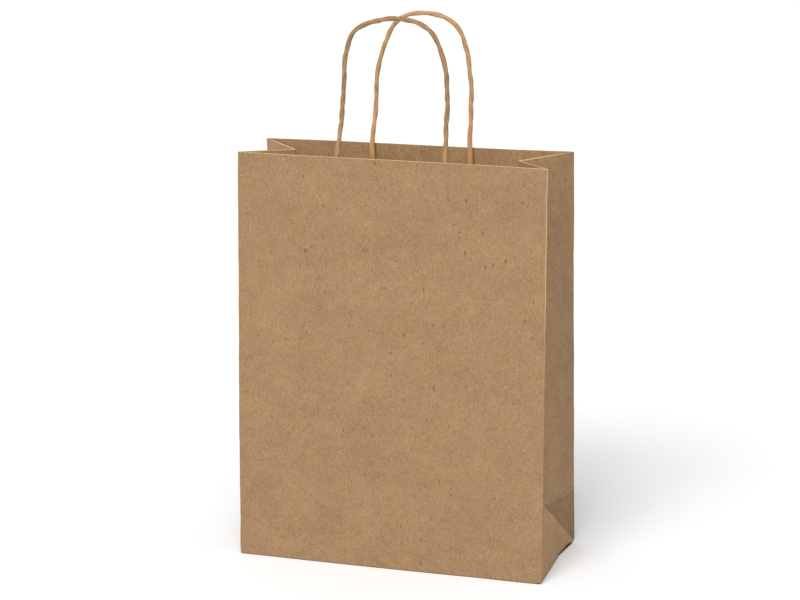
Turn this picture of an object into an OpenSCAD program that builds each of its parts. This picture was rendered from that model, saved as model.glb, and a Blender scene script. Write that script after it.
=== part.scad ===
// Block-bottom paper carrier bag with two twisted-paper cord handles.
// Frame: the origin is the middle of the base on the floor, +Z up, the front
// panel faces -Y, and the bag stands open. One glued sheet is shown as the
// panels between its creases, so that it can fold.

/* [Bag] */
// Width of the front and rear panels
bag_w = 240; // [180:1:320]
// Depth of the base from front crease to rear crease
bag_d = 100; // [80:1:130]
// Height of the front panel along the paper
bag_h = 310; // [240:1:420]
// Thickness of one layer of paper
paper_t = 0.3; // [0.2:0.05:0.4]
// Height of the horizontal crease across the rear panel
crease_h = 46; // [40:1:60]

/* [Standing shape] */
// How far the front panel's top edge sits behind its bottom edge
front_lean = 10.2; // [4:0.2:16]
// How far the rear crease sits in front of the rear bottom edge
crease_lean = 1.3; // [0.5:0.1:3]
// How far the rear panel's top edge sits in front of the rear crease
rear_lean = 20.3; // [12:0.1:28]
// How far each side is drawn in at the top of its middle crease
side_in_top = 33.4; // [20:0.2:40]
// How far each side is drawn in where the middle crease starts
side_in_low = 9; // [4:0.5:14]
// Distance of the middle crease from the front at the top
side_mid_y = 44; // [36:0.5:50]

/* [Handles] */
// Diameter of the twisted cord
cord_d = 3.5; // [3:0.1:4]
// Width of the flattened cord end under its patch
cord_flat_w = 4.8; // [4:0.1:6]
// Thickness of the flattened cord end under its patch
cord_flat_t = 1.6; // [1:0.1:1.8]
// Width of a handle patch
patch_w = 122; // [100:1:140]
// Height of a handle patch
patch_h = 38; // [30:1:45]
// Distance of the patches below the top edge
patch_drop = 22; // [18:1:30]

/* [Base] */
// How far the two bottom flaps reach across the base
flap_reach = 62; // [55:1:75]

/* [Seam] */
// Width of the lap seam down the rear panel
seam_w = 12; // [8:1:18]
// Distance of the seam's middle from the right edge of the rear panel
seam_in = 38; // [25:1:60]

/* [Hidden] */
$fn = 48;

kraft = [0.69, 0.56, 0.41];
kraft_side = [0.60, 0.48, 0.36];
kraft_in = [0.64, 0.50, 0.38];
cord_col = [0.73, 0.58, 0.42];
patch_col = [0.67, 0.54, 0.40];

t = paper_t;
gap = 0.3;                 // free space beside a crease
fold_z = 5 * t;            // height of the two bottom hinges
top_y = bag_d / 2;         // half the depth: shifts the front edge to -Y

front_a = asin(front_lean / bag_h);
front_top = bag_h * cos(front_a);
strip_a = asin(crease_lean / crease_h);
crease_y = bag_d - crease_lean;
crease_z = crease_h * cos(strip_a);
rear_len = bag_h - crease_h;
rear_a = asin(rear_lean / rear_len);

// A point of the front panel: across, inward from the outer face, up the paper
function on_front(x, n, s) =
    [x, s * sin(front_a) + n * cos(front_a) - top_y, s * cos(front_a) - n * sin(front_a)];
// The same for the rear panel, with s counted from the horizontal crease
function on_rear(x, n, s) =
    [x, crease_y - s * sin(rear_a) - n * cos(rear_a) - top_y,
     crease_z + s * cos(rear_a) - n * sin(rear_a)];
// The same for the strip under the crease, with s counted from the floor
function on_strip(x, n, s) =
    [x, bag_d - s * sin(strip_a) - n * cos(strip_a) - top_y,
     s * cos(strip_a) - n * sin(strip_a)];

// Stands children, drawn with X across, Y inward and Z up, on the front panel
module at_front() { translate([0, -top_y, 0]) rotate([-front_a, 0, 0]) children(); }
// Children drawn with X across, Y outward (so inside is -Y) and Z up from the crease
module at_rear() {
    translate([0, crease_y - top_y, crease_z]) rotate([rear_a, 0, 0]) children();
}
module at_strip() { translate([0, bag_d - top_y, 0]) rotate([strip_a, 0, 0]) children(); }

// ---- thin ruled sheets ------------------------------------------------------
function mix3(a, b, k) = a + (b - a) * k;
function unit(v) = v / norm(v);
// Corners a, b along the bottom and d, c along the top, seen from outside
function quad_pt(q, u, v) = mix3(mix3(q[0], q[1], u), mix3(q[3], q[2], u), v);
function quad_n(q, u, v) =
    unit(cross(mix3(q[1] - q[0], q[2] - q[3], v), mix3(q[3] - q[0], q[2] - q[1], u)));

// A ruled sheet on four corners, its outer face on them, t thick inward
module ruled(q, nu, nv) {
    outer = [for (j = [0:nv]) for (i = [0:nu]) quad_pt(q, i / nu, j / nv)];
    inner = [for (j = [0:nv]) for (i = [0:nu])
        quad_pt(q, i / nu, j / nv) - t * quad_n(q, i / nu, j / nv)];
    w = nu + 1;
    m = len(outer);
    polyhedron(
        points = concat(outer, inner),
        faces = concat(
            [for (j = [0:nv - 1]) for (i = [0:nu - 1]) [j * w + i, (j + 1) * w + i, j * w + i + 1]],
            [for (j = [0:nv - 1]) for (i = [0:nu - 1]) [j * w + i + 1, (j + 1) * w + i, (j + 1) * w + i + 1]],
            [for (j = [0:nv - 1]) for (i = [0:nu - 1]) [m + j * w + i, m + j * w + i + 1, m + (j + 1) * w + i]],
            [for (j = [0:nv - 1]) for (i = [0:nu - 1]) [m + j * w + i + 1, m + (j + 1) * w + i + 1, m + (j + 1) * w + i]],
            [for (i = [0:nu - 1]) [i, i + 1, m + i + 1]],
            [for (i = [0:nu - 1]) [i, m + i + 1, m + i]],
            [for (i = [0:nu - 1]) [nv * w + i, m + nv * w + i, m + nv * w + i + 1]],
            [for (i = [0:nu - 1]) [nv * w + i, m + nv * w + i + 1, nv * w + i + 1]],
            [for (j = [0:nv - 1]) [j * w, m + j * w, m + (j + 1) * w]],
            [for (j = [0:nv - 1]) [j * w, m + (j + 1) * w, (j + 1) * w]],
            [for (j = [0:nv - 1]) [j * w + nu, (j + 1) * w + nu, m + (j + 1) * w + nu]],
            [for (j = [0:nv - 1]) [j * w + nu, m + (j + 1) * w + nu, m + j * w + nu]]
        )
    );
}

// A flat triangle of paper on three corners, drawn in from its creases
module tri_sheet(p, inset) {
    c = (p[0] + p[1] + p[2]) / 3;
    q = [for (v = p) v + unit(c - v) * inset];
    n = unit(cross(q[1] - q[0], q[2] - q[0]));
    polyhedron(
        points = concat(q, [for (v = q) v - t * n]),
        faces = [[0, 2, 1], [3, 4, 5],
                 [0, 1, 4], [0, 4, 3], [1, 2, 5], [1, 5, 4], [2, 0, 3], [2, 3, 5]]
    );
}

// ---- corners of the right-hand side ------------------------------------------
half_w = bag_w / 2;
apex = [half_w - side_in_low, 0, crease_h];
mid_top = [half_w - side_in_top, side_mid_y - top_y, front_top - 0.6];
fore = [0, -2 * gap, 0];
aft = [0, 2 * gap, 0];

// Front half: front edge low, apex, top of the middle crease, front edge high
gusset_front_q = [
    on_front(half_w, 2 * gap, 3.0) + [0, 0.6, 0],
    apex + fore + [0, 0, 0.4],
    mid_top + fore,
    on_front(half_w, 2 * gap, bag_h - 0.2)
];
// Rear half: apex, rear edge at the crease, rear edge high, top of the middle crease
gusset_rear_q = [
    apex + aft + [0, 0, 0.6],
    on_rear(half_w, 2 * gap, 0.8),
    on_rear(half_w, 2 * gap, rear_len - 0.2),
    mid_top + aft
];
base_tri = [
    on_front(half_w, 0, fold_z),
    on_strip(half_w, 0, fold_z),
    apex
];
rear_tri = [
    on_strip(half_w, 2 * gap, fold_z + 1),
    on_strip(half_w, 2 * gap, crease_h - 0.4),
    apex
];

module side(right) { if (right) children(); else mirror([1, 0, 0]) children(); }
module gusset_front(right) { side(right) ruled(gusset_front_q, 2, 10); }
module gusset_rear(right) { side(right) ruled(gusset_rear_q, 2, 10); }
module base_triangle(right) { side(right) tri_sheet(base_tri, 1.4); }
module rear_corner(right) { side(right) tri_sheet(rear_tri, 1.4); }

// ---- cord -------------------------------------------------------------------
// Middle line of each loop, counted from the top edge: [across, up]
front_route = [[-42, 0.6], [-41, 8], [-40, 16], [-37.5, 32], [-36, 48], [-35, 62], [-34, 74],
    [-31.5, 88], [-25, 97.5], [-15, 101.5], [-3, 103.5], [9, 103.5], [21, 101.5],
    [31, 95.5], [38, 86], [42, 72], [43.5, 56], [43.5, 40], [42.5, 24], [41.5, 10], [41.5, 0.6]];
rear_route = [[-35.5, 0.6], [-35, 9], [-34.5, 18], [-32.5, 36], [-31, 54], [-28.5, 68],
    [-25, 80], [-20, 90], [-12, 97.5], [-2, 101.5], [9, 102.5], [19, 101], [28, 96.5],
    [34.5, 88.5], [39, 78], [42, 64], [43, 48], [43, 32], [42.5, 16], [42, 8], [42, 0.6]];

function spline_pt(p, i, k) =
    let (a = p[max(i - 1, 0)], b = p[i], c = p[i + 1], d = p[min(i + 2, len(p) - 1)])
    0.5 * (2 * b + (c - a) * k + (2 * a - 5 * b + 4 * c - d) * k * k
        + (3 * b - a - 3 * c + d) * k * k * k);
function spline(p, m) = concat(
    [for (i = [0:len(p) - 2]) for (j = [0:m - 1]) spline_pt(p, i, j / m)], [p[len(p) - 1]]);

// A round tube swept along a route in the plane n = const of a panel
module loop_tube(route, depth, sides) {
    r = cord_d / 2;
    c = spline(route, 2);
    m = len(c);
    tan2 = [for (i = [0:m - 1]) i == 0 || i == m - 1 ? [0, i == 0 ? 1 : -1]
        : (c[i + 1] - c[i - 1]) / norm(c[i + 1] - c[i - 1])];
    rings = [for (i = [0:m - 1]) for (k = [0:sides - 1])
        let (a = 360 * (k + 0.5) / sides, o = [tan2[i][1], -tan2[i][0]])
        [c[i][0] + o[0] * r * cos(a), depth + r * sin(a), c[i][1] + o[1] * r * cos(a)]];
    polyhedron(
        points = rings,
        faces = concat(
            [[for (k = [0:sides - 1]) k]],
            [[for (k = [sides - 1:-1:0]) (m - 1) * sides + k]],
            [for (i = [0:m - 2]) for (k = [0:sides - 1])
                let (k2 = (k + 1) % sides) [i * sides + k, (i + 1) * sides + k, i * sides + k2]],
            [for (i = [0:m - 2]) for (k = [0:sides - 1])
                let (k2 = (k + 1) % sides) [i * sides + k2, (i + 1) * sides + k, (i + 1) * sides + k2]]
        )
    );
}

cord_n = 2 * t + cord_d / 2;             // middle of the round cord, inward
patch_n = t + 0.02;                      // outer patch strip starts here
flat_n = patch_n + t;                    // flattened cord starts here
inner_n = flat_n + cord_flat_t + 0.04;   // inner patch strip starts here

// Both glued ends of one cord, drawn from the top edge down (Y inward)
module cord_ends(xs) {
    for (x = xs) {
        translate([x, cord_n, -patch_drop + 0.1]) cylinder(d = cord_d, h = patch_drop - 0.3);
        translate([x - cord_flat_w / 2, flat_n + 0.02, -patch_drop - patch_h + 3])
            cube([cord_flat_w, cord_flat_t, patch_h - 2.4]);
    }
}
module patch(xc, n0) {
    translate([xc - patch_w / 2, n0, -patch_drop - patch_h]) cube([patch_w, t, patch_h]);
}
module at_front_top() { at_front() translate([0, 0, bag_h]) children(); }
module at_rear_top() { at_rear() translate([0, 0, rear_len]) mirror([0, 1, 0]) children(); }

// ---- nodes ------------------------------------------------------------------
module front_panel() {
    color(kraft) at_front() translate([-half_w, 0, fold_z]) cube([bag_w, t, bag_h - fold_z]);
}
module rear_panel() {
    color(kraft_in) at_rear() translate([-half_w, -t, 1]) cube([bag_w, t, rear_len - 1]);
}
module rear_lower_strip() {
    color(kraft_side) at_strip() translate([-half_w, -t, fold_z]) cube([bag_w, t, crease_h - 1 - fold_z]);
}
module left_gusset_front() { color(kraft_side) gusset_front(false); }
module right_gusset_front() { color(kraft_side) gusset_front(true); }
module left_gusset_rear() { color(kraft_side) gusset_rear(false); }
module right_gusset_rear() { color(kraft_side) gusset_rear(true); }
module left_gusset_base_triangle() { color(kraft) base_triangle(false); }
module right_gusset_base_triangle() { color(kraft) base_triangle(true); }
module left_gusset_rear_corner() { color(kraft_side) rear_corner(false); }
module right_gusset_rear_corner() { color(kraft_side) rear_corner(true); }
module seam_lap() {
    color(kraft) at_rear() translate([half_w - seam_in - seam_w / 2, -2 * t - 0.02, 1])
        cube([seam_w, t, rear_len - 1]);
}
module seam_lap_lower() {
    color(kraft) at_strip() translate([half_w - seam_in - seam_w / 2, -2 * t - 0.02, fold_z + 1])
        cube([seam_w, t, crease_h - 2.5 - fold_z]);
}
// Bottom flaps: wide at their crease and narrowing at 45 degrees
module flap() {
    linear_extrude(t) polygon([[-half_w + 0.5, 0.4], [half_w - 0.5, 0.4],
        [half_w - 0.5 - flap_reach, flap_reach + 0.4], [-half_w + 0.5 + flap_reach, flap_reach + 0.4]]);
}
module tuck() {
    linear_extrude(t) polygon([[half_w - 0.5, 1.5], [half_w - 0.5, bag_d - 1.5],
        [half_w - bag_d / 2 + 1, bag_d / 2]]);
}
module base_front_flap() { color(kraft) translate([0, -top_y, 0]) flap(); }
module base_rear_flap() { color(kraft) translate([0, top_y, t]) mirror([0, 1, 0]) flap(); }
module base_left_tuck() { color(kraft_in) mirror([1, 0, 0]) translate([0, -top_y, 2 * t]) tuck(); }
module base_right_tuck() { color(kraft_in) translate([0, -top_y, 2 * t]) tuck(); }

module front_handle_cord() { color(cord_col) at_front_top() loop_tube(front_route, cord_n, 8); }
module front_cord_ends() { color(cord_col) at_front_top() cord_ends([-42, 41.5]); }
module front_patch_outer() { color(patch_col) at_front_top() patch(0, patch_n); }
module front_patch_inner() { color(patch_col) at_front_top() patch(0, inner_n); }
module rear_handle_cord() { color(cord_col) at_rear_top() loop_tube(rear_route, cord_n, 8); }
module rear_cord_ends() { color(cord_col) at_rear_top() cord_ends([-35.5, 42]); }
module rear_patch_outer() { color(patch_col) at_rear_top() patch(3, patch_n); }
module rear_patch_inner() { color(patch_col) at_rear_top() patch(3, inner_n); }

front_panel();
rear_panel();
rear_lower_strip();
left_gusset_front();
right_gusset_front();
left_gusset_rear();
right_gusset_rear();
left_gusset_base_triangle();
right_gusset_base_triangle();
left_gusset_rear_corner();
right_gusset_rear_corner();
seam_lap();
seam_lap_lower();
base_front_flap();
base_rear_flap();
base_left_tuck();
base_right_tuck();
front_handle_cord();
front_cord_ends();
front_patch_outer();
front_patch_inner();
rear_handle_cord();
rear_cord_ends();
rear_patch_outer();
rear_patch_inner();
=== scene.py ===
import math

import bpy
import numpy as np
from mathutils import Matrix, Vector


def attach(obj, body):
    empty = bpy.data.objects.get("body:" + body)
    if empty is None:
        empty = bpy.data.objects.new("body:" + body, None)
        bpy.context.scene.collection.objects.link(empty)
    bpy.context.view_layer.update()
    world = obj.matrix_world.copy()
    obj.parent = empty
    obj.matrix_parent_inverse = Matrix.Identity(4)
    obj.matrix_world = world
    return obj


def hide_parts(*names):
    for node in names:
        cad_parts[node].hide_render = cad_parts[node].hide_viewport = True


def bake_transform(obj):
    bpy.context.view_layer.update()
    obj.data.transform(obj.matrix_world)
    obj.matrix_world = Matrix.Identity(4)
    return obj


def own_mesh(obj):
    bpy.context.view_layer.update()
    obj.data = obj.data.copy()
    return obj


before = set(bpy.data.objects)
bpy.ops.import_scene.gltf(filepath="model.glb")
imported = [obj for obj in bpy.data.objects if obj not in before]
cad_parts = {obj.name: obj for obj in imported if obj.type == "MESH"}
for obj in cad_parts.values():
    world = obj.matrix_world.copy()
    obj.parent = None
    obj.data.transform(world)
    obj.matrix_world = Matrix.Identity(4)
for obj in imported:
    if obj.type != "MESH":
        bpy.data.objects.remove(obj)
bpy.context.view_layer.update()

# ---------------------------------------------------------------- dimensions, mm
W, D, H, HC = 240.0, 100.0, 310.0, 46.0
HALF = W / 2
TOPY = D / 2
FA = math.asin(10.2 / H)
SA = math.asin(1.3 / HC)
RL = H - HC
RA = math.asin(20.3 / RL)
CY, CZ = D - 1.3, HC * math.cos(SA)
TH = 0.24                      # paper, as seen at a cut edge
SEAM_X, SEAM_W = HALF - 42.6, 11.0


def stack(x, y, z):
    return np.stack(np.broadcast_arrays(np.asarray(x, float), y, z), axis=-1)


def on_front(x, n, s):
    return stack(x, s * math.sin(FA) + n * math.cos(FA) - TOPY, s * math.cos(FA) - n * math.sin(FA))


def on_rear(x, n, s):
    return stack(x, CY - s * math.sin(RA) - n * math.cos(RA) - TOPY, CZ + s * math.cos(RA) - n * math.sin(RA))


def on_strip(x, n, s):
    return stack(x, D - s * math.sin(SA) - n * math.cos(SA) - TOPY, s * math.cos(SA) - n * math.sin(SA))


def smooth(a, b, v):
    k = np.clip((np.asarray(v, float) - a) / (b - a), 0, 1)
    return k * k * (3 - 2 * k)


def wob(t, seed, base=60.0):
    """A small smooth wobble along a length t in mm, between about -1 and 1."""
    t = np.asarray(t, float)
    return (np.sin(t / base * 6.283 + seed * 1.7) * 0.5 + np.sin(t / (base * 0.43) * 6.283 + seed * 2.9) * 0.3
            + np.sin(t / (base * 0.19) * 6.283 + seed * 4.1) * 0.2)


def lean(k):
    """0 over the middle half of a panel, where the handles are glued, to 1 at its side edges."""
    return np.sign(k) * np.clip((np.abs(k) - 0.46) / 0.54, 0, 1) ** 1.5


# How far the paper stands off the flat fold plane, inward positive
def dev_front(x, s):
    return -3.37 * lean(np.asarray(x) / HALF) * (np.asarray(s) / H)


def dev_rear(x, s):
    return -3.2 * lean(np.asarray(x) / HALF) * (np.asarray(s) / RL)


def front_n(x, s):
    """How far the front stands inward of its fold plane."""
    k = np.asarray(x, float) / HALF
    s = np.asarray(s, float)
    belly = 1 - k ** 2
    n = dev_front(x, s) - belly * (2.4 * np.exp(-s / 46))
    n = n + belly * (0.50 * np.sin(s / H * 6.6 + 0.6 + k * 0.9) + 0.22 * np.sin(s / H * 12.1 + k * 3.1 + 2.0)) * (1 - 0.6 * smooth(150, 240, s))
    n = n + belly * 0.32 * smooth(150, 240, s)
    return n + np.abs(k) ** 10 * 0.14 * wob(s, 7 + np.sign(k), 38)


def rear_n(x, s):
    k = np.asarray(x, float) / HALF
    s = np.asarray(s, float)
    belly = (1 - k ** 2) * (1 - np.exp(-s / 30))
    return dev_rear(x, s) + belly * ((0.7 * np.sin(s / RL * 6.0 + 0.4 - k) - 0.6) * (1 - smooth(100, 190, s))
                                     + (0.30 + 0.15 * np.sin(s / RL * 9.0 + k * 2)) * smooth(100, 190, s))


def front_pt(x, s):
    k = np.asarray(x, float) / HALF
    s = np.asarray(s, float)
    inset = np.where(k > 0, 1.45 * np.clip(1 - s / 60, 0, 1) ** 2 + 0.2 * np.clip(1 - s / 5, 0, 1) ** 2 - 1.3 * (1 - smooth(9, 24, s)),
                     0.9 * (1 - smooth(10, 120, s)) + 0.7 * np.clip(1 - s / 9, 0, 1) ** 2 - 0.4 * smooth(190, 290, s))
    xe = x - np.sign(k) * np.abs(k) ** 6 * (inset + 0.16 * wob(s, 3 + np.sign(k), 46))
    n = front_n(x, s) + 0.4 * np.exp(-s / 2.0)          # the bottom edge rolls under
    n = n - (1.5 * smooth(0.55, 0.95, k) + 0.7 * smooth(0.75, 1.0, -k)) * np.exp(-s / 14)
    p = on_front(xe, n, s)
    p[..., 2] += np.exp(-s / 5) * np.abs(k) ** 70 * np.where(k > 0, 1.0, 0.4) + (0.55 - 0.15 * k) * (s / H) ** 2
    return p


def strip_pt(x, s):
    k = np.asarray(x, float) / HALF
    s = np.asarray(s, float)
    xe = x - np.sign(k) * np.abs(k) ** 6 * (0.35 * np.clip(1 - s / 5, 0, 1) ** 2 + 0.5 * np.exp(-((s - 46) / 30.0) ** 2))
    n = -(1 - k ** 2) * 1.0 * np.sin(np.pi * np.clip(s / HC, 0, 1)) + 0.5 * np.exp(-s / 2.0)
    p = on_strip(xe, n, s)
    p[..., 2] += np.exp(-s / 6) * np.abs(k) ** 40 * np.where(k > 0, 2.2, 1.0)
    return p


def rear_pt(x, s):
    k = np.asarray(x, float) / HALF
    s = np.asarray(s, float)
    out = np.where(k > 0, np.interp(s, [0, 20, 60, 110, 150, 190, 225, 264], [-0.6, -0.5, -0.3, -0.1, -0.1, 0.2, 0.7, 0.65]),
                   0.6 * np.sin(np.pi * np.clip((s - 60) / 190, 0, 1)) + 0.8 * smooth(190, 264, s) - 0.5 * np.exp(-(s / 16.0) ** 2))
    xe = x + np.sign(k) * np.abs(k) ** 6 * (out + 0.14 * wob(s, 11 + np.sign(k), 52) * (1 - np.exp(-s / 20)))
    p = on_rear(xe, rear_n(x, s), s)
    p[..., 2] += (1.45 - 0.15 * k) * (s / RL) ** 2
    return p


# Corners of each side, on the same curves as the panels
APEX = {1: np.array([HALF - 10.2, -5.5, 46.0]), -1: np.array([-(HALF - 9.8), -3.0, 46.0])}
MIDTOP = {1: np.array([HALF - 30.6, 40.2 - TOPY, H * math.cos(FA) - 0.5]),
          -1: np.array([-(HALF - 36.1), 39.2 - TOPY, H * math.cos(FA) - 0.1])}


def lerp(a, b, t):
    t = np.asarray(t, float)[..., None]
    return a * (1 - t) + b * t


def mid_crease(side, v):
    p = lerp(APEX[side], MIDTOP[side], v)
    bow = np.sin(np.pi * np.clip(v, 0, 1))
    p[..., 0] += side * 1.8 * bow
    p[..., 1] += 0.5 * wob(v * 260, 5 + side, 120) * bow
    return p


def side_bottom(side, t):
    a, b = front_pt(side * HALF, 0.0), strip_pt(side * HALF, 0.0)
    p = lerp(a, b, t)
    t = np.asarray(t, float)
    if side > 0:
        p[..., 0] -= np.interp(t, [0, 0.34, 0.66, 0.85, 1], [0, 1.4, 3.0, 1.4, 0])
        p[..., 2] += np.interp(t, [0, 0.15, 0.34, 0.54, 0.68, 0.85, 0.95, 1], [0, -0.6, -0.9, -0.5, 0.0, 0.8, 0.5, 0])
    else:
        p[..., 0] += np.interp(t, [0, 0.25, 0.46, 0.8, 1], [0, 1.6, 2.6, 1.0, 0])
        p[..., 2] += np.interp(t, [0, 0.2, 0.46, 0.7, 0.93, 1], [0, 0.6, 1.3, 1.0, 0.3, 0])
    return p


def coons(c0, c1, l, r, u, v):
    """c0, c1: bottom and top curves over u; l, r: left and right curves over v."""
    C0, C1, L, R = c0(u), c1(u), l(v), r(v)
    U, V = np.meshgrid(u, v)
    U, V = U[..., None], V[..., None]
    p = (1 - V) * C0[None] + V * C1[None] + (1 - U) * L[:, None] + U * R[:, None]
    p -= (1 - U) * (1 - V) * C0[0] + U * (1 - V) * C0[-1] + (1 - U) * V * C1[0] + U * V * C1[-1]
    return p


def lines(length, cell, near=(0.45, 1.1, 2.3), start=True, finish=True):
    """Grid line places from 0 to 1 along length mm, with closer ones beside the edges."""
    lo = list(near) if start else []
    hi = [length - n for n in reversed(near)] if finish else []
    a = lo[-1] if lo else 0.0
    b = hi[0] if hi else length
    n = max(2, int(round((b - a) / cell)))
    mid = list(np.linspace(a, b, n + 1))
    full = ([0.0] + lo[:-1] if lo else []) + mid + (hi[1:] + [length] if hi else [])
    return np.array(full) / length


# ---------------------------------------------------------------- mesh builders
def grid_normals(P):
    du = np.gradient(P, axis=1)
    dv = np.gradient(P, axis=0)
    n = np.cross(du, dv)
    return n / np.maximum(np.linalg.norm(n, axis=-1, keepdims=True), 1e-9)


def make_mesh(name, verts, faces, rim, inner, point_attrs):
    me = bpy.data.meshes.new(name)
    me.from_pydata([tuple(v) for v in np.asarray(verts) * 0.001], [], faces)
    me.validate()
    for key, values, kind in point_attrs:
        a = me.attributes.new(key, kind, "POINT")
        a.data.foreach_set("vector" if kind == "FLOAT_VECTOR" else "value",
                           np.asarray(values, np.float32).ravel())
    for key, values in (("rim", rim), ("inside", inner)):
        a = me.attributes.new(key, "FLOAT", "FACE")
        a.data.foreach_set("value", np.asarray(values, np.float32))
    me.polygons.foreach_set("use_smooth", [not r for r in rim])
    me.update()
    ob = bpy.data.objects.new(name, me)
    bpy.context.scene.collection.objects.link(ob)
    return ob


def sheet(name, P, outward, flat, edge, seed, th=TH, tri_top=False, painted_shading=None, painted_shading_in=None, cuts="brtl"):
    """A thin sheet. P (nv+1, nu+1, 3) is its outer face, outward the side the outside is on.
    flat gives each point's place on the flat paper and edge its distance from a worn crease or cut edge.
    cuts names the borders (bottom, right, top, left) where the paper ends; the others are folds."""
    nv, nu = P.shape[0] - 1, P.shape[1] - 1
    N = grid_normals(P)
    if tri_top:
        N[-1] = N[-2].mean(axis=0) / np.linalg.norm(N[-2].mean(axis=0))
    mid = N[nv // 2, nu // 2]
    if mid @ np.asarray(outward, float) < 0:
        N = -N
        flip = True
    else:
        flip = False
    Q = P - th * N
    idx = np.arange((nv + 1) * (nu + 1)).reshape(nv + 1, nu + 1)
    if tri_top:
        idx[-1, :] = nv * (nu + 1)
        count = nv * (nu + 1) + 1
        take = np.concatenate([np.arange(nv * (nu + 1)), [nv * (nu + 1)]])
    else:
        count = (nv + 1) * (nu + 1)
        take = np.arange(count)
    outer = P.reshape(-1, 3)[take]
    innr = Q.reshape(-1, 3)[take]
    faces, rim, inner = [], [], []

    def add(f, r, i, back):
        f = list(dict.fromkeys(f))
        if len(f) < 3:
            return
        faces.append(tuple(reversed(f)) if back else tuple(f))
        rim.append(r)
        inner.append(i)

    for j in range(nv):
        for i in range(nu):
            q = [idx[j, i], idx[j, i + 1], idx[j + 1, i + 1], idx[j + 1, i]]
            add([int(k) for k in q], 0, 0, flip)
            add([int(k) + count for k in q], 0, 1, not flip)
    loop = [idx[0, i] for i in range(nu)] + [idx[j, nu] for j in range(nv)]
    if tri_top:
        loop += [idx[nv, 0]] + [idx[j, 0] for j in range(nv - 1, 0, -1)]
    else:
        loop += [idx[nv, i] for i in range(nu, 0, -1)] + [idx[j, 0] for j in range(nv, 0, -1)]
    loop = [int(k) for k in loop]
    border = "b" * nu + "r" * nv + ("" if tri_top else "t" * nu) + "l" * nv
    for a, b, side_ in zip(loop, loop[1:] + loop[:1], border):
        add([b, a, a + count, b + count], 1 if side_ in cuts else 0.01, 0, flip)
    flat3 = np.concatenate([flat.reshape(-1, 2)[take], np.full((count, 1), seed * 137.0)], axis=1)
    e = edge.reshape(-1)[take]
    # the painted light and shade factor per point, for the outer face and for the inner face
    tn = np.ones(count) if painted_shading is None else painted_shading.reshape(-1)[take]
    ti = np.ones(count) if painted_shading_in is None else painted_shading_in.reshape(-1)[take]
    ob = make_mesh(name, np.concatenate([outer, innr]), faces, rim, inner,
                   [("kraft", np.concatenate([flat3, flat3 + [0, 0, 61.0]]), "FLOAT_VECTOR"),
                    ("edge", np.concatenate([e, e]), "FLOAT"),
                    ("painted_shading", np.concatenate([tn, ti]), "FLOAT")])
    d1, d2 = np.diff(P[:-1], axis=1), np.diff(P[:, :-1], axis=0)
    real = float(np.linalg.norm(np.cross(d1, d2), axis=-1).sum()) * 1e-6
    return ob


FAR = 99.0
FRONT_EDGE_WEAR = 1.0


# ---------------------------------------------------------------- materials
def srgb(r, g, b):
    def f(c):
        c /= 255.0
        return c / 12.92 if c <= 0.04045 else ((c + 0.055) / 1.055) ** 2.4
    return (f(r), f(g), f(b), 1.0)


class Tree:
    def __init__(self, name):
        self.mat = bpy.data.materials.new(name)
        self.mat.use_nodes = True
        self.nt = self.mat.node_tree
        self.nt.nodes.clear()

    def node(self, kind, **props):
        n = self.nt.nodes.new(kind)
        for k, v in props.items():
            setattr(n, k, v)
        return n

    def put(self, socket, value):
        if hasattr(value, "is_output") or isinstance(value, bpy.types.NodeSocket):
            self.nt.links.new(value, socket)
        else:
            socket.default_value = value

    def math(self, op, a, b=0.0, clamp=False):
        n = self.node("ShaderNodeMath", operation=op, use_clamp=clamp)
        self.put(n.inputs[0], a)
        self.put(n.inputs[1], b)
        return n.outputs[0]

    def attr(self, name):
        return self.node("ShaderNodeAttribute", attribute_name=name)

    def scale(self, vec, xyz, shift=(0, 0, 0)):
        m = self.node("ShaderNodeMapping")
        self.put(m.inputs["Vector"], vec)
        m.inputs["Scale"].default_value = xyz
        m.inputs["Location"].default_value = shift
        return m.outputs[0]

    def noise(self, vec, scale, detail=2.0, rough=0.5, distort=0.0):
        n = self.node("ShaderNodeTexNoise")
        self.put(n.inputs["Vector"], vec)
        n.inputs["Scale"].default_value = scale
        n.inputs["Detail"].default_value = detail
        n.inputs["Roughness"].default_value = rough
        n.inputs["Distortion"].default_value = distort
        return n.outputs["Fac"]

    def voronoi(self, vec, scale, rand=1.0):
        n = self.node("ShaderNodeTexVoronoi", feature="F1")
        self.put(n.inputs["Vector"], vec)
        n.inputs["Scale"].default_value = scale
        n.inputs["Randomness"].default_value = rand
        return n

    def ramp(self, fac, a, b, lo=0.0, hi=1.0, smoothstep=True):
        n = self.node("ShaderNodeMapRange", interpolation_type="SMOOTHSTEP" if smoothstep else "LINEAR")
        self.put(n.inputs["Value"], fac)
        n.inputs["From Min"].default_value = a
        n.inputs["From Max"].default_value = b
        n.inputs["To Min"].default_value = lo
        n.inputs["To Max"].default_value = hi
        return n.outputs["Result"]

    def mix(self, fac, a, b, mode="MIX"):
        n = self.node("ShaderNodeMix", data_type="RGBA", blend_type=mode)
        self.put(n.inputs[0], fac)
        self.put(n.inputs[6], a)
        self.put(n.inputs[7], b)
        return n.outputs[2]

    def gain(self, colour, factor):
        """colour times a grey factor"""
        c = self.node("ShaderNodeCombineColor")
        for i in range(3):
            self.put(c.inputs[i], factor)
        return self.mix(1.0, colour, c.outputs[0], "MULTIPLY")


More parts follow.
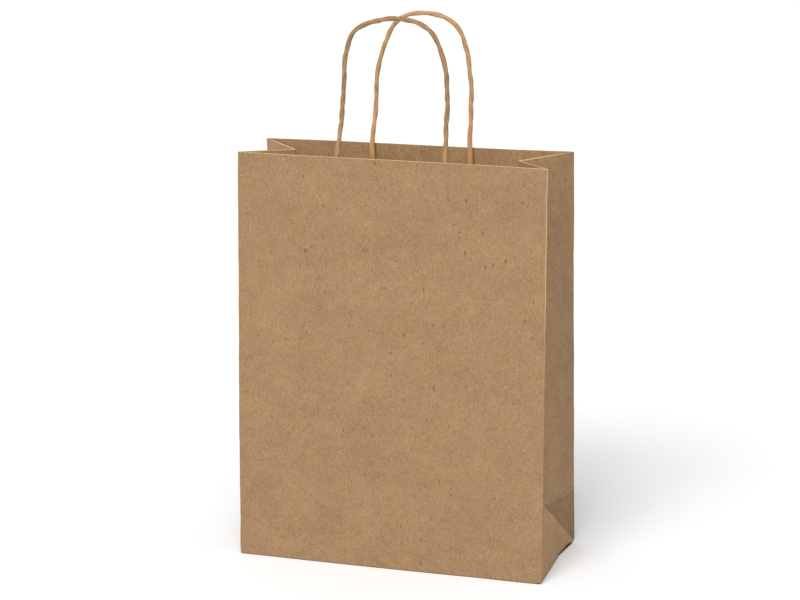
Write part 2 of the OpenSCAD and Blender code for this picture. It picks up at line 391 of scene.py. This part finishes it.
def kraft(name, base, cloud, wear=1.0, fine=1.0):
    t = Tree(name)
    pos = t.attr("kraft").outputs["Vector"]
    clouds = t.noise(pos, 0.030, 3.0, 0.55, 0.3)
    hue = t.noise(t.scale(pos, (1, 0.8, 1), (31, 7, 3)), 0.075, 2.0, 0.5)
    col = t.mix(t.ramp(hue, 0.38, 0.64), base, cloud)
    # soft formation of the sheet: flecks of pulp a millimetre or two across, drawn out up the paper
    pulp = t.noise(t.scale(pos, (1.0, 0.50, 1.0)), 0.46, 3.0, 0.62)
    grain = t.noise(t.scale(pos, (1.0, 0.55, 1.0), (5, 9, 1)), 1.05, 2.0, 0.6)
    lum = t.math("ADD", t.math("MULTIPLY", t.math("SUBTRACT", pulp, 0.5), 0.60 * fine),
                 t.math("MULTIPLY", t.math("SUBTRACT", grain, 0.5), 0.85 * fine))
    middle = t.noise(t.scale(pos, (1.0, 0.8, 1.0), (50, 3, 2)), 0.13, 2.0, 0.5)
    lum = t.math("ADD", lum, t.math("MULTIPLY", t.math("SUBTRACT", clouds, 0.5), 0.30))
    lum = t.math("ADD", lum, t.math("MULTIPLY", t.math("SUBTRACT", middle, 0.5), 0.27))
    # long pale fibres and short dark ones
    hair = t.voronoi(t.scale(pos, (1.0, 0.20, 1.0), (2, 4, 0)), 0.62)
    pale = t.ramp(hair.outputs["Distance"], 0.02, 0.16, 1.0, 0.0)
    lum = t.math("ADD", lum, t.math("MULTIPLY", pale, 0.10))
    strand = t.voronoi(t.scale(pos, (0.34, 1.0, 1.0), (8, 1, 0)), 0.5)
    lum = t.math("ADD", lum, t.math("MULTIPLY", t.ramp(strand.outputs["Distance"], 0.02, 0.13, 1.0, 0.0), -0.07))
    col = t.gain(col, t.math("ADD", lum, 1.0))

    def specks(scale, stretch, keep, radius, strength, shift, tint):
        v = t.voronoi(t.scale(pos, (1.0, stretch, 1.0), shift), scale)
        sep = t.node("ShaderNodeSeparateColor")
        t.put(sep.inputs[0], v.outputs["Color"])
        size = t.ramp(sep.outputs[0], 1 - keep, 1.0, 0.0, radius * scale, False)
        mask = t.math("SUBTRACT", 1.0, t.math("DIVIDE", v.outputs["Distance"], t.math("ADD", size, 0.0005)), True)
        mask = t.ramp(mask, 0.0, 0.55, 0.0, strength)
        return mask, tint

    for scale, stretch, keep, radius, strength, shift, tint in (
        (0.130, 0.50, 0.85, 1.35, 0.66, (3, 11, 0), srgb(112, 76, 46)),
        (0.210, 0.62, 0.80, 1.15, 0.56, (17, 2, 5), srgb(120, 84, 52)),
        (0.330, 0.80, 0.70, 0.90, 0.50, (40, 22, 9), srgb(122, 88, 58)),
        (0.110, 0.70, 0.65, 1.20, 0.50, (9, 33, 2), srgb(196, 162, 120)),
    ):
        mask, tint = specks(scale, stretch, keep, radius, strength, shift, tint)
        col = t.mix(mask, col, tint)
    # painted light and shade: the per-point factor paints pieces paler where light falls and darker where shade lies,
    # and the inner face is painted 42% paler as if more light reached it
    col = t.gain(col, t.math("MULTIPLY", t.attr("painted_shading").outputs["Fac"],
                             t.math("ADD", t.math("MULTIPLY", t.attr("inside").outputs["Fac"], 0.42), 1.0)))
    # worn creases and cut edges show the pale core of the sheet
    pale_core = srgb(226, 192, 146)
    e = t.attr("edge").outputs["Fac"]
    worn = t.ramp(e, 0.30, 0.95, 1.0, 0.0)
    patchy = t.ramp(t.noise(pos, 0.22, 3.0, 0.6), 0.22, 0.55, 0.35, 1.0)
    worn = t.math("MULTIPLY", worn, t.math("MULTIPLY", patchy, 0.85 * wear))
    col = t.mix(worn, col, pale_core)
    col = t.mix(t.math("MULTIPLY", t.attr("rim").outputs["Fac"], 0.8), col, pale_core)
    b = t.node("ShaderNodeBsdfPrincipled")
    t.put(b.inputs["Base Color"], col)
    rough = t.ramp(pulp, 0.2, 0.8, 0.72, 0.86, False)
    t.put(b.inputs["Roughness"], rough)
    b.inputs["Specular IOR Level"].default_value = 0.28
    height = t.math("ADD", t.math("MULTIPLY", grain, 0.6), t.math("MULTIPLY", pulp, 0.7))
    height = t.math("ADD", height, t.math("MULTIPLY", pale, 0.25))
    bump = t.node("ShaderNodeBump")
    bump.inputs["Strength"].default_value = 0.45
    bump.inputs["Distance"].default_value = 0.00010
    t.put(bump.inputs["Height"], height)
    t.nt.links.new(bump.outputs[0], b.inputs["Normal"])
    out = t.node("ShaderNodeOutputMaterial")
    t.nt.links.new(b.outputs[0], out.inputs[0])
    return t.mat


def cord_paper(name):
    """Attribute kraft is (angle around the cord in turns x 9, length in mm, strand)."""
    t = Tree(name)
    pos = t.attr("kraft").outputs["Vector"]
    lines = t.noise(t.scale(pos, (1.0, 0.06, 1.0)), 2.6, 3.0, 0.6)
    mott = t.noise(t.scale(pos, (0.5, 0.35, 1.0)), 0.9, 3.0, 0.6)
    long = t.noise(t.scale(pos, (0.15, 0.05, 1.0)), 1.0, 2.0, 0.5)
    col = t.mix(t.ramp(long, 0.3, 0.7), srgb(190, 148, 103), srgb(178, 137, 93))
    lum = t.math("ADD", t.math("MULTIPLY", t.math("SUBTRACT", lines, 0.5), 0.42),
                 t.math("MULTIPLY", t.math("SUBTRACT", mott, 0.5), 0.26))
    col = t.gain(col, t.math("ADD", lum, 1.0))
    # painted shade: the grooves between the twisted strands are painted darker
    groove = t.attr("groove").outputs["Fac"]
    col = t.mix(t.ramp(groove, 0.1, 1.0, 0.0, 0.36), col, srgb(128, 92, 58))
    # painted highlight: the ridges of the twist are painted paler
    crest = t.attr("crest").outputs["Fac"]
    col = t.mix(t.ramp(crest, 0.35, 1.0, 0.0, 0.22), col, srgb(214, 176, 130))
    v = t.voronoi(t.scale(pos, (1.0, 0.5, 1.0)), 0.5)
    col = t.mix(t.ramp(v.outputs["Distance"], 0.03, 0.12, 0.4, 0.0), col, srgb(120, 88, 58))
    # painted light and shade along the cord, from the per-point factor
    col = t.gain(col, t.attr("painted_shading").outputs["Fac"])
    b = t.node("ShaderNodeBsdfPrincipled")
    t.put(b.inputs["Base Color"], col)
    t.put(b.inputs["Roughness"], t.ramp(lines, 0.2, 0.8, 0.66, 0.82, False))
    b.inputs["Specular IOR Level"].default_value = 0.30
    bump = t.node("ShaderNodeBump")
    bump.inputs["Strength"].default_value = 0.6
    bump.inputs["Distance"].default_value = 0.00015
    t.put(bump.inputs["Height"], t.math("ADD", lines, t.math("MULTIPLY", mott, 0.4)))
    t.nt.links.new(bump.outputs[0], b.inputs["Normal"])
    out = t.node("ShaderNodeOutputMaterial")
    t.nt.links.new(b.outputs[0], out.inputs[0])
    return t.mat


KRAFT = kraft("kraft_paper", srgb(156.5, 124.8, 88.5), srgb(154, 122.3, 91))
PATCH = kraft("kraft_patch", srgb(156, 124, 89), srgb(152, 120, 91))
CORD = cord_paper("twisted_paper")


def dress(ob, mat):
    ob.data.materials.clear()
    ob.data.materials.append(mat)
    return ob


def flatten_front(ob):
    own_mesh(ob)


def flatten_rear(ob):
    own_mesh(ob)


def flatten_strip(ob):
    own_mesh(ob)


def flatten_corner(ob):
    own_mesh(ob)


def flatten_base(ob):
    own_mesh(ob)


def flatten_floor(ob):
    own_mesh(ob)


def flat_grid(P):
    """Distances along the paper for a grid: across from the left, up from the bottom."""
    du = np.linalg.norm(np.diff(P, axis=1), axis=-1)
    dv = np.linalg.norm(np.diff(P, axis=0), axis=-1)
    u = np.concatenate([np.zeros((P.shape[0], 1)), np.cumsum(du, axis=1)], axis=1)
    v = np.concatenate([np.zeros((1, P.shape[1])), np.cumsum(dv, axis=0)], axis=0)
    return np.stack([u, v], axis=-1)


# ---------------------------------------------------------------- camera, floor, light
cam_data = bpy.data.cameras.new("camera")
cam = bpy.data.objects.new("camera", cam_data)
bpy.context.scene.collection.objects.link(cam)
az, pitch, roll = math.radians(18.01), math.radians(13.25), math.radians(-0.28)
fwd = Vector((-math.sin(az) * math.cos(pitch), math.cos(az) * math.cos(pitch), -math.sin(pitch)))
rgt = Vector((math.cos(az), math.sin(az), 0))
upv = rgt.cross(fwd)
cx_ = rgt * math.cos(roll) + upv * math.sin(roll)
cy_ = -rgt * math.sin(roll) + upv * math.cos(roll)
cam.matrix_world = Matrix((
    (cx_.x, cy_.x, -fwd.x, 0.56119),
    (cx_.y, cy_.y, -fwd.y, -1.69298 - 0.050),
    (cx_.z, cy_.z, -fwd.z, 0.62764),
    (0, 0, 0, 1)))
cam_data.sensor_width = 36.0
cam_data.lens = 2490.0 / 800 * 36.0
cam_data.clip_start = 0.05
cam_data.clip_end = 50
bpy.context.scene.camera = cam

sc = bpy.context.scene
sc.view_settings.view_transform = "Standard"
sc.view_settings.look = "None"
sc.view_settings.exposure = 0.0
sc.view_settings.gamma = 1.0
world = bpy.data.worlds.new("studio")
sc.world = world
world.use_nodes = True
bg = world.node_tree.nodes["Background"]
bg.inputs[0].default_value = (1.0, 0.992, 0.975, 1)
bg.inputs[1].default_value = 0.53

floor_me = bpy.data.meshes.new("floor")
floor_me.from_pydata([(-9, -9, -0.0003), (9, -9, -0.0003), (9, 9, -0.0003), (-9, 9, -0.0003)], [], [(0, 1, 2, 3)])
floor = bpy.data.objects.new("floor", floor_me)
sc.collection.objects.link(floor)
ft = Tree("floor_white")
fb = ft.node("ShaderNodeBsdfDiffuse")
fb.inputs[0].default_value = (0.962, 0.978, 1.0, 1)
fo = ft.node("ShaderNodeOutputMaterial")
ft.nt.links.new(fb.outputs[0], fo.inputs[0])
floor_me.materials.append(ft.mat)
# a painted contact shadow: a dark sheet on the floor right under the bag, which shows only through the gaps under its
# edges
q = np.linspace(-1, 1, 25)
w = np.linspace(0, 1, 25)
ring = np.concatenate([front_pt(q * (HALF - 0.3), 0.0 * q), side_bottom(1, w)[1:-1], strip_pt(-q * (HALF - 0.3), 0.0 * q),
                       side_bottom(-1, w)[::-1][1:-1]])
ring[:, 0] *= 0.9945
ring[:, 2] = -0.15
under_me = bpy.data.meshes.new("floor_painted_shadow")
under_me.from_pydata([tuple(v) for v in ring * 0.001], [], [tuple(range(len(ring)))])
under = bpy.data.objects.new("floor_painted_shadow", under_me)
sc.collection.objects.link(under)
ut = Tree("floor_shade")
ub = ut.node("ShaderNodeBsdfDiffuse")
ub.inputs[0].default_value = (0.14, 0.135, 0.14, 1)
uo = ut.node("ShaderNodeOutputMaterial")
ut.nt.links.new(ub.outputs[0], uo.inputs[0])
under_me.materials.append(ut.mat)


def sun(name, toward, strength, spread, colour=(1, 1, 1)):
    """A soft distant light; toward points from the bag to the light."""
    d = bpy.data.lights.new(name, "SUN")
    d.energy = strength
    d.angle = math.radians(spread)
    d.color = colour
    o = bpy.data.objects.new(name, d)
    sc.collection.objects.link(o)
    o.location = Vector(toward) * 3
    o.rotation_euler = Vector(toward).to_track_quat("Z", "Y").to_euler()
    return o


sun("key_left", (-0.38, -0.96, 0.86), 0.535, 22)
sun("key_right", (-0.08, -1.02, 0.86), 0.535, 22)
sun("top", (0.10, -0.62, 1.0), 1.28, 34)

# ---------------------------------------------------------------- front panel
xs = (lines(W, 4.0) * 2 - 1) * HALF
sv = lines(H, 4.0, (0.45, 1.1, 2.3, 4.0)) * H
X, S = np.meshgrid(xs, sv)
P = front_pt(X, S)
flat = np.stack([X, S], axis=-1)
edge = np.minimum(H - S + 0.34, HALF - X + 0.10 + 0.80 * (1 - smooth(130, 230, S)))
edge = np.minimum(edge, (X + HALF) + 0.72)
# painted shade: the front is painted 3% darker towards the bottom
front = sheet("paper_front", P, (0, -1, 0), flat, edge, 1, painted_shading=1 - 0.03 * (1 - smooth(20, 160, S)), cuts="t")
dress(front, KRAFT)
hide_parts("front_panel")
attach(front, "front")
flatten_front(front)


# ---------------------------------------------------------------- rear panel and its lap seam
def rear_sheet(name, fn, x0, x1, s1, lift, seed, body, node, flat_fn, flat_s0):
    xs_ = x0 + lines(x1 - x0, 4.0) * (x1 - x0)
    ss_ = lines(s1, 4.2) * s1
    X_, S_ = np.meshgrid(xs_, ss_)
    P_ = fn(X_, S_)
    P_ = P_ + lift(X_)[..., None] * np.array([0, -1.0, 0])
    e_ = np.minimum((s1 - S_ + 0.62) if body == "rear" else FAR, FAR)
    e_ = np.minimum(e_, np.minimum(HALF - X_, X_ + HALF) + 0.6)
    # painted light: the inner face of the rear panel is painted up to 9% paler towards its right
    ob = sheet(name, P_, (0, 1, 0), np.stack([X_, S_ + flat_s0], axis=-1), e_, seed,
               painted_shading_in=1 + 0.09 * smooth(10, 70, X_), cuts=("t" if body == "rear" else "") + ("l" if x0 > 0 else "r"))
    dress(ob, KRAFT)
    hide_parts(node)
    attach(ob, body)
    flat_fn(ob)
    return ob


# the main sheet dips under the lap, which lies outside it
lap0, lap1 = SEAM_X - SEAM_W / 2, SEAM_X + SEAM_W / 2
dip = lambda x: (TH + 0.06) * smooth(lap0 - 10, lap0 - 0.6, x)
none = lambda x: 0 * x
for nm, fn, s1, body, f, s0, a, b in (
    ("paper_rear", rear_pt, RL, "rear", flatten_rear, HC, "rear_panel", "seam_lap"),
    ("paper_strip", strip_pt, HC, "rear_strip", flatten_strip, 0.0, "rear_lower_strip", "seam_lap_lower"),
):
    rear_sheet(nm + "_main", fn, -HALF, lap1, s1, dip, 2, body, a, f, s0)
    rear_sheet(nm + "_lap", fn, lap0, HALF, s1, none, 3, body, b, f, s0)

# ---------------------------------------------------------------- sides
for side, word in ((-1, "left"), (1, "right")):
    ang = 0.9
    # front half, from the front edge to the middle crease
    s_edge = lambda v: v * H
    l_ = lambda v: front_pt(side * HALF, v * H)
    r_ = lambda v: mid_crease(side, v)
    c0_ = lambda u: lerp(l_(np.array(0.0)), APEX[side], u)
    c1_ = lambda u: lerp(l_(np.array(1.0)), MIDTOP[side], u)
    gu, gv = lines(50, 3.6), lines(H, 4.2)
    P = coons(c0_, c1_, l_, r_, gu, gv)
    puff = np.sin(np.pi * gu)[None, :] * np.sin(np.pi * gv)[:, None]
    P[..., 0] += side * 0.8 * puff
    fg = flat_grid(P)
    top = (1 - gv)[:, None] * H + 0 * fg[..., 0]
    e = np.minimum(top, fg[..., 0] + 0.6 + 0.3 * smooth(80, 200, top))
    # painted light: the front halves of the sides are painted 7% paler
    ob = sheet(f"gusset_front_{word}", P, (side, -0.2, 0), fg + [400 * side, 0], e, 4 + side, cuts="t",
               painted_shading=1.07 + 0 * e)
    dress(ob, KRAFT)
    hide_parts(f"{word}_gusset_front")
    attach(ob, "front")
    flatten_front(ob)
    # rear half
    l_ = lambda v: mid_crease(side, v)
    r_ = lambda v: rear_pt(side * HALF, v * RL)
    c0_ = lambda u: lerp(APEX[side], r_(np.array(0.0)), u)
    c1_ = lambda u: lerp(MIDTOP[side], r_(np.array(1.0)), u)
    gu, gv = lines(50, 3.6), lines(RL, 4.2)
    P = coons(c0_, c1_, l_, r_, gu, gv)
    puff = np.sin(np.pi * gu)[None, :] * np.sin(np.pi * gv)[:, None]
    P[..., 0] += side * 1.0 * puff
    fg = flat_grid(P)
    top = (1 - gv)[:, None] * RL + 0 * fg[..., 0]
    far_edge = fg[:, -1:, 0] - fg[..., 0]
    e = np.minimum(top + 0.6 * smooth(0.55, 1.0, gu)[None, :], far_edge + 0.78)
    e = np.minimum(e, fg[..., 1] + 0.8)
    # painted light: the right rear half is painted paler towards the middle crease and a little darker towards the
    # rear edge, the left one 13% paler all over
    ob = sheet(f"gusset_rear_{word}", P, (side, 0.2, 0), fg + [400 * side + 60, 46], e, 6 + side, cuts="t",
               painted_shading=(0.955 + 0.10 * (1 - smooth(0.35, 0.8, gu)) if side > 0 else 1.13 + 0 * gu)[None, :] + 0 * e)
    dress(ob, KRAFT)
    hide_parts(f"{word}_gusset_rear")
    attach(ob, "rear")
    flatten_rear(ob)
    # triangle standing on the side of the base
    n_ = 26
    t = np.linspace(0, 1, n_ + 1)
    base_edge = side_bottom(side, t)
    rows = [lerp(base_edge, APEX[side][None, :].repeat(n_ + 1, 0), np.full(n_ + 1, v)) for v in np.linspace(0, 1, 15)]
    P = np.array(rows)
    fg = flat_grid(P)
    e = np.minimum(FAR, 0.8 + 0 * fg[..., 0] + np.minimum(np.arange(n_ + 1), n_ - np.arange(n_ + 1))[None, :] * 3.0)
    # painted light: the triangle on the base is painted 21% paler, as if lit from above
    ob = sheet(f"gusset_base_{word}", P, (side, 0, 0.1), fg + [400 * side, 0], e, 8 + side, tri_top=True,
               painted_shading=1.21 + 0 * e, cuts="")
    dress(ob, KRAFT)
    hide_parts(f"{word}_gusset_base_triangle")
    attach(ob, "base")
    flatten_base(ob)
    # rear corner under the horizontal crease
    edge_c = strip_pt(np.full(n_ + 1, side * HALF), t * HC)
    rows = [lerp(edge_c, APEX[side][None, :].repeat(n_ + 1, 0), np.full(n_ + 1, v)) for v in np.linspace(0, 1, 15)]
    P = np.array(rows)
    fg = flat_grid(P)
    e = np.minimum(FAR, 0.75 + np.minimum(np.arange(n_ + 1), n_ - np.arange(n_ + 1))[None, :] * 1.6 + 0 * fg[..., 0])
    # painted shade: the rear corner is painted 23% darker below a line from the apex to the rear edge
    vv = np.linspace(0, 1, 15)[:, None]
    below = (1 - vv) * (46 * (1 - t)[None, :] - 3.0)
    ob = sheet(f"gusset_corner_{word}", P, (side, 0.1, 0.1), fg + [400 * side + 30, 20], e, 10 + side, tri_top=True,
               painted_shading=1 - 0.23 * smooth(-1.5, 2.5, below), cuts="")
    dress(ob, KRAFT)
    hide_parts(f"{word}_gusset_rear_corner")
    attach(ob, "rear_strip")
    flatten_corner(ob)


# ---------------------------------------------------------------- folded bottom
def base_flap(name, front_side, z0, node, seed):
    reach = 62.4
    nu, nv = 52, 16
    u = np.linspace(-1, 1, nu + 1)
    v = np.linspace(0, 1, nv + 1)
    rows = []
    for k in v:
        y = k * reach
        wide = HALF - 0.4 - np.clip(y - 2, 0, None) * 1.0
        x = u * wide
        if front_side:
            crease = front_pt(np.clip(x, -HALF, HALF), np.zeros_like(x))
            yy = crease[:, 1] + (y - 0.0) + 0.35
        else:
            crease = strip_pt(np.clip(x, -HALF, HALF), np.zeros_like(x))
            yy = crease[:, 1] - (y - 0.0) - 0.35
        lift = z0 * smooth(2, 30, y) + 0.10 * (1 + wob(x, seed, 90)) * smooth(6, 30, y) * (0.4 if front_side else 1)
        zz = crease[:, 2] * np.exp(-y / 6) + lift + 0.02
        rows.append(np.stack([x, yy, zz], axis=-1))
    P_ = np.array(rows)
    fg_ = np.stack([P_[..., 0], P_[..., 1] + 500], axis=-1)
    e_ = np.minimum(FAR, (reach - (v * reach)[:, None]) + 0 * P_[..., 0] + 0.2)
    e_ = np.minimum(e_, (1 - np.abs(u))[None, :] * 90 + 0.25)
    ob_ = sheet(name, P_, (0, 0, -1), fg_, e_, seed, th=0.2)
    dress(ob_, KRAFT)
    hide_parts(node)
    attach(ob_, "base")
    flatten_floor(ob_)
    return ob_


base_flap("base_flap_front", True, 0.0, "base_front_flap", 13)
base_flap("base_flap_rear", False, 0.42, "base_rear_flap", 14)
for side, word in ((-1, "left"), (1, "right")):
    n_ = 24
    t = np.linspace(0.02, 0.98, n_ + 1)
    edge_b = side_bottom(side, t)
    edge_b[..., 0] -= side * 0.4
    tip = np.array([side * (HALF - 50.0), 0.0, 0.9])
    rows = []
    for v in np.linspace(0, 1, 13):
        row = lerp(edge_b, tip[None, :].repeat(n_ + 1, 0), np.full(n_ + 1, v))
        row[:, 2] = edge_b[:, 2] * (1 - v) ** 3 + 0.75 * smooth(0, 0.25, v) + 0.1
        rows.append(row)
    P = np.array(rows)
    fg = np.stack([P[..., 0], P[..., 1] + 700], axis=-1)
    ob = sheet(f"base_tuck_{word}", P, (0, 0, -1), fg, np.full(fg.shape[:2], FAR), 15 + side, th=0.2, tri_top=True)
    dress(ob, KRAFT)
    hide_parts(f"base_{word}_tuck")
    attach(ob, "base")
    flatten_floor(ob)


# ---------------------------------------------------------------- cords
def catmull(p, per):
    p = np.asarray(p, float)
    q = np.concatenate([[2 * p[0] - p[1]], p, [2 * p[-1] - p[-2]]])
    out = []
    for i in range(len(p) - 1):
        a, b, c, d = q[i:i + 4]
        for k in np.linspace(0, 1, per, endpoint=False):
            out.append(0.5 * (2 * b + (c - a) * k + (2 * a - 5 * b + 4 * c - d) * k * k
                              + (3 * b - a - 3 * c + d) * k ** 3))
    out.append(p[-1])
    return np.array(out)


def resample(p, step):
    seg = np.linalg.norm(np.diff(p, axis=0), axis=1)
    L = np.concatenate([[0], np.cumsum(seg)])
    n = int(round(L[-1] / step))
    t = np.linspace(0, L[-1], n + 1)
    return np.stack([np.interp(t, L, p[:, i]) for i in range(3)], axis=1), t


FRONT_LOOP = [(-42, 0.6), (-40.8, 8), (-39.6, 16), (-37.7, 32), (-36.9, 48), (-35.9, 62), (-35.3, 74),
              (-31.4, 88), (-27.8, 93.6), (-23, 97.0), (-15, 100.4), (-3, 103.1), (9, 103.1), (20.5, 101.1),
              (29.9, 94.5), (35.9, 85.6), (40.3, 72), (42.7, 56), (42.7, 40), (41.9, 24), (41.5, 10), (41.5, 0.6)]
REAR_LOOP = [(-35.5, 0.6), (-34.1, 9), (-33.1, 18), (-30.9, 36), (-29.8, 54), (-26.3, 68),
             (-22.1, 80), (-18.2, 89.2), (-11.2, 97.4), (-2, 101.7), (9, 103.0), (19, 101.8), (29.2, 97.4),
             (37.0, 88.8), (40.4, 78), (42.9, 64), (43.8, 48), (43.4, 32), (42.5, 16), (42, 8), (42, 0.6)]
PATCH_DROP, PATCH_H, PATCH_W = 22.0, 38.0, 122.0


def cord_depth(dev, x, rel):
    """How far in from the fold plane a strand's middle runs, rel mm above the top edge."""
    return 1.45 + 1.0 * smooth(-PATCH_DROP - 2, -4, rel) + max(dev, 0.0) * (1 - smooth(25, 80, rel))


def twisted_cord(name, loop, surface, dev, length_s, nodes, seed, pitch, start, end, shade):
    xl, xr = loop[0][0], loop[-1][0]
    low = -PATCH_DROP - PATCH_H + 3
    route = [(xl + 0.5, low), (xl + 0.3, low + 12), (xl, low + 26), (xl, -14), (xl, -7)]
    route += list(loop) + [(xr, -7), (xr, -14), (xr, low + 26), (xr - 0.3, low + 12), (xr - 0.5, low)]
    pts = []
    for x, rel in route:
        d = float(dev(x, length_s + min(rel, 0)))
        pts.append((x, float(cord_depth(d, x, rel)), rel))
    c = catmull(pts, 10)
    c, L = resample(c, 1.1)
    rel = c[:, 2]
    free = smooth(-3, 16, rel)                       # 0 pressed flat, 1 round
    near = smooth(-PATCH_DROP, 2, rel)               # 0 under the patch
    phi = 2 * np.pi * L / pitch + 1.3 * wob(L, seed + 3, 97) + seed
    c[:, 0] += free * 0.20 * np.sin(phi) + free * 0.25 * wob(L, seed, 58)
    c[:, 1] += free * 0.20 * np.cos(phi)
    c[:, 2] += free * 0.15 * np.sin(phi + 1.0) * smooth(60, 90, rel)
    T = np.gradient(c, axis=0)
    T /= np.linalg.norm(T, axis=1, keepdims=True)
    inward = np.array([0, 1.0, 0])
    A = inward - (T @ inward)[:, None] * T
    A /= np.linalg.norm(A, axis=1, keepdims=True)    # across the panel plane
    B = np.cross(T, A)
    sides = 28
    th = np.arange(sides) / sides * 2 * np.pi
    verts, groove, crest, kr = [], [], [], []
    for i in range(len(c)):
        f = free[i]
        q = th - phi[i]
        g1 = np.exp(-((np.angle(np.exp(1j * (q - 0.6)))) / 0.30) ** 2)
        g2 = np.exp(-((np.angle(np.exp(1j * (q - 3.6)))) / 0.22) ** 2) * 0.55
        g3 = np.exp(-((np.angle(np.exp(1j * (q - 2.2)))) / 0.16) ** 2) * 0.3
        g = np.maximum.reduce([g1, g2, g3])
        lobes = 0.5 + 0.5 * np.cos(2 * (q - 2.0))
        size = 1 + 0.05 * wob(L[i], seed + 9, 37)
        r_round = (1.60 + 0.30 * lobes - 0.20 * g) * size
        # pressed section: a flat rounded bar, wide in x and thin in depth
        wide, thin = (2.25 * (1 - near[i]) + 1.95 * near[i]), (0.72 * (1 - near[i]) + 1.2 * near[i])
        ca, sa = np.cos(th), np.sin(th)               # ca along A (depth), sa along B (across)
        r_flat = 1.0 / (np.abs(ca / thin) ** 3 + np.abs(sa / wide) ** 3) ** (1 / 3)
        r_flat = r_flat * (1 - 0.07 * g)
        r = r_flat * (1 - f) + r_round * f
        verts.append(c[i] + A[i] * (r * ca)[:, None] + B[i] * (r * sa)[:, None])
        groove.append(g * (0.35 + 0.65 * f))
        crest.append(np.clip(lobes - g, 0, 1) * (0.3 + 0.7 * f) + 0.3 * (1 - f))
        kr.append(np.stack([((q / (2 * np.pi)) % 1.0) * 9.0, np.full(sides, L[i]), np.full(sides, seed * 31.0)], axis=1))
    V = np.array(verts).reshape(-1, 3)
    # local (x across, n inward, rel up) to the row frame
    V = surface(V[:, 0], V[:, 1], V[:, 2] + length_s)
    m = len(c)
    faces = []
    for i in range(m - 1):
        for k in range(sides):
            k2 = (k + 1) % sides
            faces.append((i * sides + k, i * sides + k2, (i + 1) * sides + k2, (i + 1) * sides + k))
    faces.append(tuple(range(sides - 1, -1, -1)))
    faces.append(tuple((m - 1) * sides + k for k in range(sides)))
    # face outward: flip all if the first quad looks inward
    centre = surface(c[:, 0], c[:, 1], c[:, 2] + length_s)
    f0 = faces[sides * (m // 2)]
    nn = np.cross(V[f0[1]] - V[f0[0]], V[f0[2]] - V[f0[0]])
    if nn @ (V[f0[0]] - centre[m // 2]) < 0:
        faces = [tuple(reversed(f)) for f in faces]
    rim = [0] * len(faces)
    me_attrs = [("kraft", np.array(kr).reshape(-1, 3), "FLOAT_VECTOR"),
                ("groove", np.array(groove).ravel(), "FLOAT"),
                ("crest", np.array(crest).ravel(), "FLOAT"),
                ("painted_shading", np.repeat(np.interp(rel, *shade), sides), "FLOAT")]
    ob = make_mesh(name, V, faces, rim, rim, me_attrs)
    dress(ob, CORD)
    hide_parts(*nodes)
    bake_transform(ob)
    return ob


# painted shade on the front cord, down to 0.66, and painted light on the feet of the rear cord, up to 1.6, by height
# above the top edge
twisted_cord("cord_front", FRONT_LOOP, on_front, front_n, H,
             ("front_handle_cord", "front_cord_ends"), 1.0, 27.0,
             on_front(0.0, 0.15, H - 7.0), on_front(0.0, 0.15, H + 8.0),
             ((-10, 12, 30, 60, 95), (0.86, 0.80, 0.70, 0.66, 0.70)))
twisted_cord("cord_rear", REAR_LOOP, on_rear, rear_n, RL,
             ("rear_handle_cord", "rear_cord_ends"), 2.4, 29.0,
             on_rear(0.0, 0.15, RL - 7.0), on_rear(0.0, 0.15, RL + 8.0),
             ((-20, -6, 10, 21, 32, 44, 66), (1.3, 1.6, 1.6, 1.5, 1.25, 1.08, 1.0)))


# ---------------------------------------------------------------- handle patches
def patch(name, xc, xl, xr, surface, dev, length_s, inner, body, node, flat_fn, seed):
    nu, nv = 92, 22
    xs_ = np.linspace(xc - PATCH_W / 2, xc + PATCH_W / 2, nu + 1)
    rs_ = np.linspace(-PATCH_DROP - PATCH_H, -PATCH_DROP, nv + 1)
    X_, R_ = np.meshgrid(xs_, rs_)
    X_ = X_ + 0.25 * wob(R_, seed, 24)
    R_ = R_ + 0.2 * wob(X_, seed + 2, 50)
    d = dev(X_, length_s + R_)
    n = d + TH + 0.05
    if inner:
        n = np.maximum(d, 0) + TH + 0.42 + 0.08 * (1 + wob(X_ + 0.4 * R_, seed, 33))
        for xx in (xl, xr):
            over = float(cord_depth(dev(xx, length_s - 40), xx, -40)) + 0.72 + 0.36
            bump = 1 - smooth(2.5, 7.5, np.abs(X_ - xx))
            fade = smooth(-PATCH_DROP - PATCH_H - 1, -PATCH_DROP - PATCH_H + 4, R_)
            n = np.maximum(n, n + (over - n) * bump * (0.3 + 0.7 * fade))
    P_ = surface(X_, n, length_s + R_)
    e_ = np.minimum(np.minimum(X_ - X_.min() , X_.max() - X_), np.minimum(R_ - rs_[0], rs_[-1] - R_)) + 0.3
    out = -np.array(surface(0.0, 0.0, 0.0)) + np.array(surface(0.0, 1.0, 0.0))
    ob = sheet(name, P_, tuple(out), np.stack([X_, R_ + 900], axis=-1), np.clip(e_, 0, FAR), seed, th=0.22)
    dress(ob, PATCH)
    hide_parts(node)
    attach(ob, body)
    if not inner:
        flat_fn(ob)
    return ob


patch("patch_front_outer", 0, -42, 41.5, on_front, front_n, H, False, "front", "front_patch_outer", flatten_front, 21)
patch("patch_front_inner", 0.6, -42, 41.5, on_front, front_n, H, True, "front", "front_patch_inner", flatten_front, 22)
patch("patch_rear_outer", 3, -35.5, 42, on_rear, rear_n, RL, False, "rear", "rear_patch_outer", flatten_rear, 23)
patch("patch_rear_inner", 3.5, -35.5, 42, on_rear, rear_n, RL, True, "rear", "rear_patch_inner", flatten_rear, 24)
